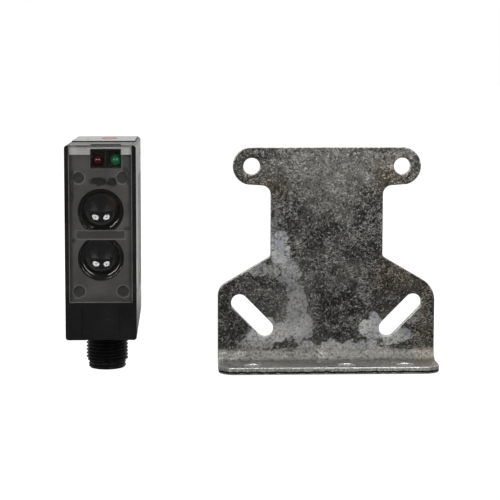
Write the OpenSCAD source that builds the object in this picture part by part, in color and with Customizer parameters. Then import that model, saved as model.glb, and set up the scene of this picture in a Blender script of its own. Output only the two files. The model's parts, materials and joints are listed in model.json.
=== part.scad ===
// Compact photoelectric sensor with an M12 plug and its loose steel angle bracket.
// Origin: plug axis at the underside of the housing. The lenses face -Y and the plug points to -Z.

/* [Housing] */
// Width of the housing, side to side
body_w = 18.8; // [18.6:0.1:22]
// Height of the housing without its plug
body_h = 51.6; // [51.6:0.1:54]
// Depth of the housing, front to back
body_d = 50; // [49:0.5:54]
// Depth of the front shell, up to the joint with the rear shell
front_d = 18; // [17.5:0.5:19]
// Wall thickness of both shells
wall = 1.4; // [1.2:0.1:1.6]
// Distance from the front face back to the plug axis
plug_back = 32.5; // [32:0.5:34]

/* [Optics] */
// Height of the upper lens above the housing's underside
upper_lens_z = 34; // [33.8:0.1:34.4]
// Height of the lower lens above the housing's underside
lower_lens_z = 21.6; // [21.3:0.1:21.8]
// Radius of each lens
lens_r = 5.9; // [5.5:0.1:6]
// Height of the bottom edge of the window
window_low = 10; // [9:0.5:11]
// Thickness of the window
window_t = 1.5; // [1.2:0.1:1.8]

/* [Indicators] */
// Sideways place of the red indicator
red_x = -0.7; // [-0.8:0.1:-0.5]
// Sideways place of the green indicator
green_x = 4; // [3.9:0.05:4.05]
// Height of both indicators
led_z = 47.5; // [47.4:0.1:47.7]
// Radius of each indicator
led_r = 1.6; // [1.5:0.05:1.6]

/* [Plug] */
// Outer radius of the M12 thread
thread_r = 5.95; // [5.9:0.01:6]
// Length of the threaded stretch
thread_len = 11.4; // [10:0.2:12]
// Radius of the plain lead-in below the thread
tip_r = 5.3; // [5:0.1:5.5]
// Length of the plain lead-in
tip_len = 2.2; // [1.5:0.1:3]
// Radius of the socket inside the plug
socket_r = 4.4; // [4.3:0.1:4.5]
// Radius of the circle that the four contacts stand on
contact_circle_r = 2.5; // [2.4:0.1:2.6]

/* [Mounting] */
// Distance between the two side holes, and between the matching holes of the bracket
hole_spacing = 43; // [42.5:0.1:43.5]
// Radius of the side holes, for an M4 screw
side_hole_r = 2.15; // [2.1:0.05:2.25]
// Distance from the plug axis back to the side holes
side_hole_y = 12.7; // [12.5:0.1:12.9]

/* [Bracket] */
// Sideways distance from the plug axis to the bracket's middle
bracket_x = 62.9; // [60:0.5:80]
// Width of the bracket's lower plate
plate_w = 62.4; // [60:0.2:66]
// Height of the bracket
bracket_h = 63; // [62:0.5:66]
// Thickness of the bracket's sheet
sheet_t = 2; // [1.5:0.1:2.5]
// Width of the bracket's neck
neck_w = 32.2; // [30:0.2:34]
// Depth of the bracket's foot in front of its plate
foot_d = 12.4; // [10.6:0.2:14]
// Radius of the bracket's round holes
bracket_hole_r = 2.35; // [2.2:0.05:2.5]
// Width of the bracket's slanted slots
slot_w = 4.76; // [4.5:0.02:5]

/* [Hidden] */

eps = 0.01;
fine = 64;
half_w = body_w / 2;
y_front = -plug_back;
y_back = body_d - plug_back;
y_split = y_front + front_d;
corner_r = 0.8;

// Shallow panel below the window
panel_d = 0.5;
panel_x0 = -5.1;
panel_x1 = 5;
panel_top = 9;
panel_slope = 1.2;
panel_low = 0.4;
panel_step_x = -3.8;

// Joint between the shells
seal_t = 0.5;
lip_t = 0.7;
lip_len = 1.6;

// Bosses, bushes and label recesses
side_boss_r = 4.1;
bush_r = 3.1;
adjuster_boss_r = 3.6;
mouth_r = 2.9;
ring_groove_r = 2.75;
label_x = 8.8;
label_y0 = y_split + 1.4;
label_y1 = y_back - 1;
side_label_y0 = y_split + 2.2;
side_label_y1 = y_back - 1.4;
side_label_z0 = 9.6;
side_label_z1 = 42;
label_recess = 0.2;
label_gap = 0.05;

// Window and its seal
window_gap = 0.2;
pocket_x = 8.35;
cap_d = 10;
cap_t = 0.5;
peg_r = 1.58;
peg_x = 5.8;
peg_low_z = 12.75;
peg_high_z = 42.9;
peg_depth = 0.7;
rib_x = 6.4;
rib_z = 1.1;
rib_depth = 0.35;
bar_mid_z = (upper_lens_z + lower_lens_z) / 2;

// Optics
carrier_y = y_front + window_t + 0.1;
carrier_t = 1.2;
carrier_x = 8.15;
carrier_top = 49;
lens_flat = 4.9;
lens_flat_x = 3.7;
opening_r = lens_r + 0.2;
back_dome_r = 6.2;
back_rim_r = 5.1;
lens_front_r = 40;
lens_edge_t = 1.7;
block_y0 = carrier_y + carrier_t + 1.9;
block_y1 = y_front + 14.3;
block_x = 7;
block_z0 = 14.6;
block_z1 = 41.2;
front_board_y = y_front + 16;
board_t = 1;
diode_r = 2.5;
diode_len = 2.6;
lead_r = 0.25;
lead_x = 1.27;
led_lead_x = 0.6;

// Indicator pocket
shroud_x0 = -2.6;
shroud_x1 = 5.4;
shroud_z0 = 45.5;
shroud_d = 5.4;
light_bar_d = 8.3;
light_bar_t = 0.45;
bridge_t = 0.8;
inner_top = body_h - cap_t - 0.05;

// Boards behind the optics
main_board_y0 = y_split + 2.6;
main_board_y1 = 8.4;
main_board_z0 = 9.5;
main_board_z1 = 48.8;
adjuster_board_y = 9.4;
adjuster_r = 1.9;
sensitivity_z = 33;
mode_z = 19;
rotor_y0 = 12.4;
rotor_y1 = y_back - 0.3;
rotor_gap = 0.06;

// Plug
plug_len = thread_len + tip_len;
socket_depth = 9.4;
flange_r = 7.2;
flange_t = 2;
contact_r = 0.5;
insert_top = 4.2;

// Bracket, in its own place beside the sensor
floor_z = -plug_len;
plate_y = -1.5;
bend_r = 2.8;
ear_r = 5.4;
ear_z = floor_z + bracket_h - ear_r;
shoulder_z = floor_z + 31.9;
shoulder_slope = tan(31);
corner_left_r = 4.2;
corner_right_r = 6.8;
foot_corner_r = 4.4;
foot_hole_y = plate_y - 8.8;
foot_extra_x = 4.9;
slot_high = [24.95, floor_z + 18.45];
slot_low = [17.6, floor_z + 10.95];

// A flat shape drawn in X and Z, given a thickness from y0 back to y1.
module along_y(y0, y1) {
    translate([0, y1, 0])
        rotate([90, 0, 0])
            linear_extrude(y1 - y0) children();
}

// A flat shape drawn in Y and Z, given a thickness from x0 to x1.
module along_x(x0, x1) {
    translate([x0, 0, 0])
        rotate([90, 0, 90])
            linear_extrude(x1 - x0) children();
}

// A box given by its lowest and highest corners.
module block(low, high) {
    translate(low) cube(high - low);
}

// A round bar along Y, from y0 to y1.
module rod_y(x, z, r, y0, y1) {
    translate([x, y1, z])
        rotate([90, 0, 0])
            cylinder(r = r, h = y1 - y0, $fn = fine);
}

// A rectangle from one corner to the other, with round corners.
module round_rect(low, high, r) {
    translate([low[0] + r, low[1]])
        square([high[0] - low[0] - 2 * r, high[1] - low[1]]);
    translate([low[0], low[1] + r])
        square([high[0] - low[0], high[1] - low[1] - 2 * r]);
    for (x = [low[0] + r, high[0] - r], z = [low[1] + r, high[1] - r])
        translate([x, z]) circle(r, $fn = fine);
}

module body_outline(inset = 0) {
    round_rect([inset - half_w, inset], [half_w - inset, body_h - inset], max(corner_r - inset, 0.2));
}

// ---- Shells ----

module window_pocket() {
    block([-pocket_x, y_front - eps, window_low], [pocket_x, y_front + window_t + 0.1, body_h + 1]);
    block([-pocket_x, y_front - eps, body_h - cap_t - window_gap],
          [pocket_x, y_front + cap_d + window_gap, body_h + 1]);
}

module front_shell() {
    color([0.12, 0.12, 0.125])
        difference() {
            along_y(y_front, y_split) body_outline();
            block([wall - half_w, carrier_y, wall], [half_w - wall, y_split + 1, body_h - wall]);
            window_pocket();
            // Step that takes the carrier plate, and the way through under the window's cap
            block([-carrier_x - 0.05, carrier_y, window_low - 0.35],
                  [carrier_x + 0.05, carrier_y + carrier_t + 0.05, carrier_top + 1]);
            block([-carrier_x - 0.05, carrier_y, carrier_top],
                  [carrier_x + 0.05, y_front + cap_d, body_h]);
            // Shallow panel below the window: sloping top, stepped at its lower left corner
            along_x(panel_x0, panel_x1)
                polygon([
                    [y_front - panel_d, panel_top + panel_slope],
                    [y_front + panel_d, panel_top - panel_slope],
                    [y_front + panel_d, panel_low],
                    [y_front - panel_d, panel_low]
                ]);
            block([panel_step_x, y_front - eps, -eps], [panel_x1, y_front + panel_d, panel_low + eps]);
            // Rebate that takes the lip of the rear shell
            along_y(y_split - lip_len - 0.1, y_split + 1) body_outline(lip_t);
        }
}

module rear_shell() {
    color([0.12, 0.12, 0.125])
        difference() {
            union() {
                difference() {
                    along_y(y_split + seal_t, y_back) body_outline();
                    along_y(y_split - 1, y_back - wall) body_outline(wall);
                }
                // Lip inside the front shell
                difference() {
                    along_y(y_split - lip_len, y_split + seal_t + 1) body_outline(lip_t + 0.05);
                    along_y(y_split - lip_len - 1, y_split + seal_t + 2) body_outline(wall);
                }
                // Bosses around the side holes
                for (z = side_hole_z())
                    translate([wall - half_w - 0.1, side_hole_y, z])
                        rotate([0, 90, 0])
                            cylinder(r = side_boss_r, h = body_w - 2 * wall + 0.2, $fn = fine);
                // Bosses around the two adjusters
                for (z = [sensitivity_z, mode_z])
                    rod_y(0, z, adjuster_boss_r, y_back - wall - 1.1, y_back - wall + 0.1);
            }
            for (z = side_hole_z())
                translate([-half_w - 1, side_hole_y, z])
                    rotate([0, 90, 0])
                        cylinder(r = bush_r, h = body_w + 2, $fn = fine);
            for (z = [sensitivity_z, mode_z]) {
                rod_y(0, z, adjuster_r + rotor_gap, y_back - wall - 2, y_back + 1);
                rod_y(0, z, ring_groove_r, y_back - 2.5 - eps, y_back - 1.2);
                // Dished mouth around each adjuster
                translate([0, y_back + eps, z])
                    rotate([90, 0, 0])
                        cylinder(r1 = mouth_r, r2 = adjuster_r, h = 0.5, $fn = fine);
            }
            translate([0, 0, -1])
                cylinder(r = tip_r + 0.05, h = wall + 2, $fn = fine);
            // Recesses for the two labels
            block([-label_x, label_y0, body_h - label_recess], [label_x, label_y1, body_h + 1]);
            block([half_w - label_recess, side_label_y0, side_label_z0],
                  [half_w + 1, side_label_y1, side_label_z1]);
        }
}

module shell_seal() {
    color([0.05, 0.05, 0.05])
        along_y(y_split, y_split + seal_t)
            difference() {
                body_outline(0.12);
                body_outline(lip_t + 0.05);
            }
}

function side_hole_z() = [for (s = [-1, 1]) body_h / 2 + s * hole_spacing / 2];

// ---- Window ----

module front_window() {
    side = pocket_x - window_gap;
    color([0.3, 0.3, 0.31, 0.5]) {
        block([-side, y_front, window_low + window_gap], [side, y_front + window_t, body_h]);
        block([-side, y_front, body_h - cap_t], [side, y_front + cap_d, body_h]);
        for (x = [-peg_x, peg_x], z = [peg_low_z, peg_high_z])
            rod_y(x, z, peg_r, y_front + window_t - eps, carrier_y + peg_depth);
        block([-rib_x, y_front + window_t - eps, bar_mid_z - rib_z],
              [rib_x, carrier_y + rib_depth, bar_mid_z + rib_z]);
    }
}

module window_seal() {
    side = pocket_x - window_gap;
    color([0.35, 0.35, 0.35])
        difference() {
            union() {
                block([-pocket_x, y_front + 0.1, window_low],
                      [pocket_x, y_front + window_t - 0.1, body_h - 0.1]);
                block([-pocket_x, y_front + 0.1, body_h - cap_t - window_gap],
                      [pocket_x, y_front + cap_d + window_gap, body_h - 0.1]);
            }
            block([-side, y_front - 1, window_low + window_gap],
                  [side, y_front + cap_d, body_h + 1]);
            block([-side, y_front + window_t - 0.5, window_low - 1],
                  [side, y_front + cap_d + 1, body_h - cap_t]);
        }
}

// ---- Optics ----

// One lens-shaped opening: a circle cut straight on the side that faces the other lens.
module lens_outline(z, side) {
    far = opening_r + 1;
    corner_z = lens_flat + lens_flat_x - far;
    translate([0, z])
        intersection() {
            circle(opening_r, $fn = fine);
            polygon([
                [-far, side * far],
                [far, side * far],
                [far, -side * corner_z],
                [lens_flat_x, -side * lens_flat],
                [-lens_flat_x, -side * lens_flat],
                [-far, -side * corner_z]
            ]);
        }
}

module optics_carrier() {
    color([0.42, 0.41, 0.4])
        difference() {
            along_y(carrier_y, carrier_y + carrier_t)
                difference() {
                    round_rect([-carrier_x, window_low - 0.3], [carrier_x, carrier_top], 0.4);
                    lens_outline(upper_lens_z, 1);
                    lens_outline(lower_lens_z, -1);
                    translate([shroud_x0 - 0.1, shroud_z0 - 0.1])
                        square([shroud_x1 - shroud_x0 + 0.2, 10]);
                }
            for (x = [-peg_x, peg_x], z = [peg_low_z, peg_high_z])
                rod_y(x, z, peg_r + 0.02, carrier_y - 1, carrier_y + peg_depth + 0.02);
            // Two moulding recesses above the upper lens
            block([-2.3, carrier_y - 1, 40.9], [1.4, carrier_y + 0.7, 42.9]);
            block([1.9, carrier_y - 1, 40.7], [4.1, carrier_y + 0.7, 42.9]);
            // Channel for the rib of the window
            block([-rib_x - 0.03, carrier_y - 1, bar_mid_z - rib_z - 0.03],
                  [rib_x + 0.03, carrier_y + rib_depth + 0.02, bar_mid_z + rib_z + 0.03]);
        }
}

module optics_block() {
    color([0.07, 0.07, 0.07])
        difference() {
            union() {
                block([-block_x, block_y0, block_z0], [block_x, block_y1, block_z1]);
                // Collars that carry the lenses
                block([-block_x, carrier_y + carrier_t, block_z0],
                      [block_x, block_y0 + eps, block_z1]);
            }
            for (z = [upper_lens_z, lower_lens_z]) {
                rod_y(0, z, lens_r + 0.02, carrier_y, block_y0);
                translate([0, block_y0 - eps, z])
                    rotate([-90, 0, 0])
                        cylinder(r1 = back_rim_r + 0.3, r2 = back_rim_r - 0.2, h = 3.4, $fn = fine);
                translate([0, block_y0 + 3.3, z])
                    rotate([-90, 0, 0])
                        cylinder(r1 = back_rim_r - 0.2, r2 = diode_r + 0.05, h = 3.5, $fn = fine);
                rod_y(0, z, diode_r + 0.05, block_y0 + 6, block_y1 + 1);
            }
            block([-block_x - 1, block_y0 + 1, bar_mid_z - 0.25],
                  [block_x + 1, block_y1 + 1, bar_mid_z + 0.25]);
        }
}

// Lens with a nearly flat front and a deep dome behind, cut straight where the lenses face each other.
module lens(z, side) {
    front_rise = lens_front_r - sqrt(lens_front_r * lens_front_r - lens_r * lens_r);
    y_rim = block_y0 - 0.01;
    y_edge = y_rim - lens_edge_t - front_rise;
    back_centre = y_rim - sqrt(back_dome_r * back_dome_r - back_rim_r * back_rim_r);
    color([0.25, 0.17, 0.13, 0.7])
        intersection() {
            union() {
                intersection() {
                    translate([0, y_edge + lens_front_r, z]) sphere(lens_front_r, $fn = 128);
                    rod_y(0, z, lens_r, y_edge - 1, y_rim);
                }
                intersection() {
                    translate([0, back_centre, z]) sphere(back_dome_r, $fn = 96);
                    rod_y(0, z, back_rim_r + 1, y_rim - 0.5, y_rim + back_dome_r);
                }
            }
            block([-10, y_rim - 10, z - (side > 0 ? lens_flat - 0.1 : 10)],
                  [10, y_rim + 10, z + (side > 0 ? 10 : lens_flat - 0.1)]);
        }
}

module emitter_lens() {
    lens(upper_lens_z, 1);
}

module receiver_lens() {
    lens(lower_lens_z, -1);
}

module optical_divider() {
    color([0.6, 0.6, 0.6])
        block([-block_x - 0.4, block_y0 + 1.1, bar_mid_z - 0.15],
              [block_x + 0.4, front_board_y, bar_mid_z + 0.15]);
}

// Domed diode on the optical axis, with two leads through the front board.
module diode(z, r) {
    seat = block_y1 + 0.02;
    rod_y(0, z, r, seat - diode_len, seat);
    rod_y(0, z, r + 0.4, seat, seat + 0.9);
    intersection() {
        translate([0, seat - diode_len, z]) sphere(r, $fn = fine);
        rod_y(0, z, r + 1, seat - diode_len - r, seat - diode_len + 0.1);
    }
    for (x = [-lead_x, lead_x])
        rod_y(x, z, lead_r, seat + 0.8, front_board_y + board_t + 0.6);
}

module emitter_diode() {
    color([0.55, 0.2, 0.2]) diode(upper_lens_z, diode_r);
}

module receiver_diode() {
    color([0.2, 0.2, 0.3]) diode(lower_lens_z, diode_r);
}

module receiver_shield() {
    color([0.75, 0.75, 0.72])
        difference() {
            block([-4.6, block_y1 + 0.02, lower_lens_z - 4.6],
                  [4.6, front_board_y - 0.02, lower_lens_z + 4.6]);
            block([-4.3, block_y1 - 1, lower_lens_z - 4.3],
                  [4.3, front_board_y + 1, lower_lens_z + 4.3]);
        }
}

module front_board() {
    color([0.1, 0.35, 0.2])
        difference() {
            block([-7.4, front_board_y, 9], [7.4, front_board_y + board_t, 49.6]);
            for (x = [-lead_x, lead_x], z = [upper_lens_z, lower_lens_z])
                rod_y(x, z, lead_r + 0.02, front_board_y - 1, front_board_y + board_t + 1);
            for (x = [red_x, green_x], side = [-led_lead_x, led_lead_x])
                rod_y(x + side, led_z, lead_r + 0.02, front_board_y - 1, front_board_y + board_t + 1);
        }
}

// ---- Indicators ----

module light_bar() {
    color([0.75, 0.74, 0.72])
        difference() {
            block([-carrier_x, carrier_y, carrier_top + 0.05],
                  [carrier_x, carrier_y + light_bar_d, inner_top]);
            block([shroud_x0 - 0.05, carrier_y - 1, carrier_top - 1],
                  [shroud_x1 + 0.05, carrier_y + shroud_d + 1, inner_top - light_bar_t]);
            // Opening behind the bar's bridge, for the top of the shroud
            block([shroud_x0 - 0.05, carrier_y + bridge_t, inner_top - light_bar_t - eps],
                  [shroud_x1 + 0.05, carrier_y + shroud_d + 0.05, inner_top + 1]);
        }
}

module indicator_shroud() {
    wall_t = 0.4;
    middle = (red_x + green_x) / 2 - 0.3;
    top = inner_top - light_bar_t - 0.05;
    color([0.05, 0.05, 0.05])
        difference() {
            union() {
                block([shroud_x0, carrier_y, shroud_z0], [shroud_x1, carrier_y + shroud_d, top]);
                block([shroud_x0, carrier_y + bridge_t + 0.05, top - eps],
                      [shroud_x1, carrier_y + shroud_d, inner_top]);
            }
            block([shroud_x0 + wall_t, carrier_y - 1, shroud_z0 + wall_t],
                  [middle - 0.15, carrier_y + 2.2, top - wall_t]);
            block([middle + 0.15, carrier_y - 1, shroud_z0 + wall_t],
                  [shroud_x1 - wall_t + 0.2, carrier_y + 2.2, top - wall_t]);
            for (x = [red_x, green_x])
                rod_y(x, led_z, led_r + 0.05, carrier_y, carrier_y + shroud_d + 1);
        }
}

// Round indicator lamp with a dome, a collar and two leads.
module indicator(x) {
    base = carrier_y + shroud_d + 0.02;
    rod_y(x, led_z, led_r, carrier_y + 1.9, base);
    rod_y(x, led_z, led_r + 0.3, base, base + 0.8);
    intersection() {
        translate([x, carrier_y + 1.9, led_z]) sphere(led_r, $fn = fine);
        rod_y(x, led_z, led_r + 1, carrier_y, carrier_y + 2);
    }
    for (side = [-led_lead_x, led_lead_x])
        rod_y(x + side, led_z, lead_r, base + 0.7, front_board_y + board_t + 0.6);
}

module indicator_red() {
    color([0.7, 0.05, 0.08]) indicator(red_x);
}

module indicator_green() {
    color([0.1, 0.6, 0.3]) indicator(green_x);
}

// ---- Electronics ----

module main_board() {
    color([0.1, 0.35, 0.2])
        block([0, main_board_y0, main_board_z0], [board_t, main_board_y1, main_board_z1]);
}

module control_chips() {
    chip_y = [-8.5, -1.5];
    chip_z = [29, 36];
    leg = 0.6;
    color([0.08, 0.08, 0.08]) {
        block([board_t, chip_y[0], chip_z[0]], [board_t + 1.4, chip_y[1], chip_z[1]]);
        block([board_t, -8, 18], [board_t + 1.6, -3, 22]);
        block([-1.6, -6, 40], [0, -1, 44]);
    }
    // Legs along both sides of the largest chip
    color([0.75, 0.75, 0.75])
        for (n = [0:6], y = [chip_y[0] - leg, chip_y[1]])
            translate([board_t, y, chip_z[0] + 0.5 + n * 0.95]) cube([0.5, leg, 0.3]);
}

module power_parts() {
    capacitor_r = 3;
    capacitor_len = 6.4;
    choke_r = 4;
    choke_len = 3.8;
    // Two electrolytic capacitors and a choke on one side, three output transistors on the other
    color([0.2, 0.2, 0.45])
        for (z = [14, 22])
            translate([-capacitor_len, 3.5, z])
                rotate([0, 90, 0])
                    cylinder(r = capacitor_r, h = capacitor_len, $fn = fine);
    color([0.3, 0.3, 0.3])
        translate([-choke_len, -5, 28])
            rotate([0, 90, 0])
                difference() {
                    cylinder(r = choke_r, h = choke_len, $fn = fine);
                    translate([0, 0, -1]) cylinder(r = 1.2, h = choke_len + 2, $fn = fine);
                }
    color([0.08, 0.08, 0.08])
        for (z = [14, 19, 24])
            translate([board_t, 2, z]) cube([1.5, 4, 3.2]);
}

// Flat flexible link between the front board and the main board.
module board_link() {
    y0 = front_board_y + board_t;
    low = 23;
    high = 33;
    outer_x = 1.7;
    color([0.75, 0.5, 0.15]) {
        block([outer_x - 0.3, y0, low], [outer_x, y0 + 3.6, high]);
        block([board_t, y0 + 3.3, low], [outer_x, y0 + 6.2, high]);
    }
}

module adjuster_board() {
    color([0.1, 0.35, 0.2])
        block([-7, adjuster_board_y, 11], [7, adjuster_board_y + board_t, 41]);
}

module adjuster_base(z) {
    half = 3.4;
    difference() {
        block([-half, adjuster_board_y + board_t, z - half], [half, rotor_y0 + 1.4, z + half]);
        rod_y(0, z, adjuster_r + rotor_gap, rotor_y0 - 0.1, rotor_y0 + 3);
    }
}

module sensitivity_pot() {
    color([0.15, 0.3, 0.65]) adjuster_base(sensitivity_z);
}

module mode_switch() {
    color([0.2, 0.2, 0.22]) adjuster_base(mode_z);
}

// Round rotor with a screwdriver slot in its outer end.
module rotor(z, slot_len) {
    difference() {
        rod_y(0, z, adjuster_r, rotor_y0, rotor_y1);
        block([-slot_len / 2, rotor_y1 - 0.8, z - 0.3], [slot_len / 2, rotor_y1 + 1, z + 0.3]);
    }
}

module sensitivity_screw() {
    color([0.85, 0.8, 0.6]) rotor(sensitivity_z, 5);
}

module mode_selector() {
    color([0.9, 0.9, 0.88])
        difference() {
            rotor(mode_z, 2.8);
            // Dot that shows which end of the slot points to the mark
            rod_y(0, mode_z + 1.25, 0.25, rotor_y1 - 0.3, rotor_y1 + 1);
        }
}

module adjuster_seals() {
    ring_r = 0.35;
    color([0.04, 0.04, 0.04])
        for (z = [sensitivity_z, mode_z])
            translate([0, y_back - 1.85, z])
                rotate([90, 0, 0])
                    rotate_extrude($fn = fine)
                        translate([adjuster_r + 0.04 + ring_r, 0])
                            circle(ring_r, $fn = 32);
}

// ---- Plug ----

module plug_shell() {
    color([0.1, 0.1, 0.1])
        difference() {
            union() {
                translate([0, 0, -thread_len])
                    cylinder(r = thread_r, h = thread_len, $fn = fine);
                translate([0, 0, -eps])
                    cylinder(r = tip_r, h = wall + 2 * eps, $fn = fine);
                translate([0, 0, -plug_len])
                    cylinder(r = tip_r, h = tip_len + eps, $fn = fine);
                translate([0, 0, wall])
                    cylinder(r = flange_r, h = flange_t, $fn = fine);
            }
            translate([0, 0, -plug_len - 1])
                cylinder(r = socket_r, h = plug_len + wall + flange_t + 2, $fn = fine);
            // Chamfered mouth
            translate([0, 0, -plug_len - eps])
                cylinder(r1 = socket_r + 0.4, r2 = socket_r, h = 0.4, $fn = fine);
        }
    // Coding key inside the socket
    color([0.1, 0.1, 0.1])
        block([-0.75, -socket_r - 0.1, -plug_len + 0.6],
              [0.75, -socket_r + 0.75, socket_depth - plug_len]);
}

module contact_insert() {
    color([0.16, 0.16, 0.17])
        difference() {
            translate([0, 0, socket_depth - plug_len])
                cylinder(r = socket_r - 0.01, h = insert_top + plug_len - socket_depth, $fn = fine);
            at_contacts()
                translate([0, 0, -plug_len])
                    cylinder(r = contact_r + 0.01, h = plug_len + insert_top + 1, $fn = 32);
        }
}

module at_contacts() {
    for (a = [45:90:315])
        rotate([0, 0, a])
            translate([contact_circle_r, 0, 0]) children();
}

module contact_pins() {
    color([0.85, 0.7, 0.3])
        at_contacts() {
            translate([0, 0, -plug_len + 2.6])
                cylinder(r = contact_r, h = plug_len + insert_top - 1.6, $fn = 32);
            translate([0, 0, -plug_len + 2.2])
                cylinder(r1 = contact_r - 0.25, r2 = contact_r, h = 0.4 + eps, $fn = 32);
        }
}

module contact_wires() {
    color([0.5, 0.25, 0.15])
        at_contacts()
            translate([0, 0, insert_top + 1])
                cylinder(r = 0.45, h = main_board_z0 + 0.3 - insert_top, $fn = 32);
}

module plug_seal() {
    color([0.04, 0.04, 0.04])
        translate([0, 0, wall + flange_t + 0.4])
            rotate_extrude($fn = fine)
                translate([flange_r - 0.5, 0]) circle(0.4, $fn = 32);
}

// ---- Mounting ----

module mounting_bushes() {
    color([0.75, 0.73, 0.68])
        for (z = side_hole_z())
            translate([-half_w, side_hole_y, z])
                rotate([0, 90, 0])
                    difference() {
                        cylinder(r = bush_r - 0.01, h = body_w, $fn = fine);
                        translate([0, 0, -1]) cylinder(r = side_hole_r, h = body_w + 2, $fn = fine);
                    }
}

module top_label() {
    color([0.8, 0.8, 0.79])
        block([label_gap - label_x, label_y0 + label_gap, body_h - label_recess],
              [label_x - label_gap, label_y1 - label_gap, body_h - label_gap]);
}

module side_label() {
    color([0.8, 0.8, 0.79])
        block([half_w - label_recess, side_label_y0 + label_gap, side_label_z0 + label_gap],
              [half_w - label_gap, side_label_y1 - label_gap, side_label_z1 - label_gap]);
}

// ---- Bracket ----

// Points of an arc round a centre, from one angle to another.
function arc(centre, r, from, to, steps = 8) = [
    for (n = [0:steps])
        let (a = from + (to - from) * n / steps)
            [centre[0] + r * cos(a), centre[1] + r * sin(a)]
];

// Outline of the plate's right half, from the top of its ear down to the foot.
function half_outline(corner_r) =
    let (
        side = plate_w / 2,
        neck = neck_w / 2,
        ear_x = hole_spacing / 2,
        slope = atan(shoulder_slope),
        fillet_r = 2.6,
        under = ear_z - ear_r - 0.1,
        drop = (side - neck) * shoulder_slope,
        corner = [side, shoulder_z - drop],
        back = corner_r * tan((90 - slope) / 2)
    )
    concat(
        arc([ear_x, ear_z], ear_r, 90, -75, 16),
        arc([neck + fillet_r, under - fillet_r], fillet_r, 100, 180, 6),
        [[neck, shoulder_z]],
        arc([corner[0] - corner_r, corner[1] - back], corner_r, 90 - slope, 0),
        [[side, floor_z + sheet_t + bend_r]]
    );

// The same points on the other side of the middle line, in the opposite order.
function mirrored(points) = [for (n = [len(points) - 1:-1:0]) [-points[n][0], points[n][1]]];

// Slanted slot on the right-hand side: two half circles joined by straight sides.
function slot_outline() =
    let (
        reach = slot_high - slot_low,
        lean = atan2(reach[1], reach[0])
    )
    concat(
        arc(slot_high, slot_w / 2, lean - 90, lean + 90, 16),
        arc(slot_low, slot_w / 2, lean + 90, lean + 270, 16)
    );

module bracket_plate() {
    along_y(plate_y, plate_y + sheet_t)
        difference() {
            polygon(concat(half_outline(corner_right_r), mirrored(half_outline(corner_left_r))));
            for (x = [-hole_spacing / 2, hole_spacing / 2])
                translate([x, ear_z]) circle(bracket_hole_r, $fn = fine);
            polygon(slot_outline());
            polygon(mirrored(slot_outline()));
        }
}

module bracket_foot() {
    side = plate_w / 2;
    front = plate_y - foot_d;
    difference() {
        translate([0, 0, floor_z])
            linear_extrude(sheet_t)
                polygon(concat(
                    arc([foot_corner_r - side, front + foot_corner_r], foot_corner_r, 180, 270),
                    arc([side - foot_corner_r, front + foot_corner_r], foot_corner_r, 270, 360),
                    [[side, plate_y - bend_r], [-side, plate_y - bend_r]]
                ));
        for (x = [-hole_spacing / 2, foot_extra_x, hole_spacing / 2])
            translate([x, foot_hole_y, floor_z - 1])
                cylinder(r = bracket_hole_r, h = sheet_t + 2, $fn = fine);
    }
}

// Quarter bend between the foot and the plate.
module bracket_bend() {
    centre = [plate_y - bend_r, floor_z + sheet_t + bend_r];
    along_x(-plate_w / 2, plate_w / 2)
        intersection() {
            translate(centre)
                difference() {
                    circle(bend_r + sheet_t, $fn = fine);
                    circle(bend_r, $fn = fine);
                }
            translate([centre[0], floor_z]) square([bend_r + sheet_t, bend_r + sheet_t]);
        }
}

module mounting_bracket() {
    color([0.55, 0.55, 0.52])
        translate([bracket_x, 0, 0]) {
            bracket_plate();
            bracket_foot();
            bracket_bend();
        }
}

front_shell();
rear_shell();
shell_seal();
front_window();
window_seal();
optics_carrier();
optics_block();
emitter_lens();
receiver_lens();
optical_divider();
emitter_diode();
receiver_diode();
receiver_shield();
front_board();
light_bar();
indicator_shroud();
indicator_red();
indicator_green();
main_board();
control_chips();
power_parts();
board_link();
adjuster_board();
sensitivity_pot();
sensitivity_screw();
mode_switch();
mode_selector();
adjuster_seals();
plug_shell();
contact_insert();
contact_pins();
contact_wires();
plug_seal();
mounting_bushes();
top_label();
side_label();
mounting_bracket();
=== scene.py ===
"""Looks of the photoelectric sensor and its angle bracket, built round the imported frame."""

import json
import math

import bmesh
import bpy
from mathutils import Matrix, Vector


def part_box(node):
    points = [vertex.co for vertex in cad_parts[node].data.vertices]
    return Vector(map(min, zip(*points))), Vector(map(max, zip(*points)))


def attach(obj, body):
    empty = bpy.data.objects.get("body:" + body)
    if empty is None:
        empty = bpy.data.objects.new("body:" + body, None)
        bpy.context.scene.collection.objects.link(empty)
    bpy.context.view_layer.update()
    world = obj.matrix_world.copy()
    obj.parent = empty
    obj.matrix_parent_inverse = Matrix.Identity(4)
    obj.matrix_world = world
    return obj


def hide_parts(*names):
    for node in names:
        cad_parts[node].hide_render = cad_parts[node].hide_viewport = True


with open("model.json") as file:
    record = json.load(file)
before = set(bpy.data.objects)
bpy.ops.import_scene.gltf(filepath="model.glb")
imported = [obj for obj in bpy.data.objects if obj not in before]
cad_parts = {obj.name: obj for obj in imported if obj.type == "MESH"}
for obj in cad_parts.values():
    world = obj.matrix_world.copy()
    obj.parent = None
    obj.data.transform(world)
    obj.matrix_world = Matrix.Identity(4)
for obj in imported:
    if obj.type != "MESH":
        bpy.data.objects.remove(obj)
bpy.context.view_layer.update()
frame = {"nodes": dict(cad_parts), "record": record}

MM = 0.001
scene = bpy.context.scene

front_lo, front_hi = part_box("front_shell")
plug_lo, plug_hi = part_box("plug_shell")
bracket_lo, bracket_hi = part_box("mounting_bracket")
label_lo, label_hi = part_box("top_label")

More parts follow.
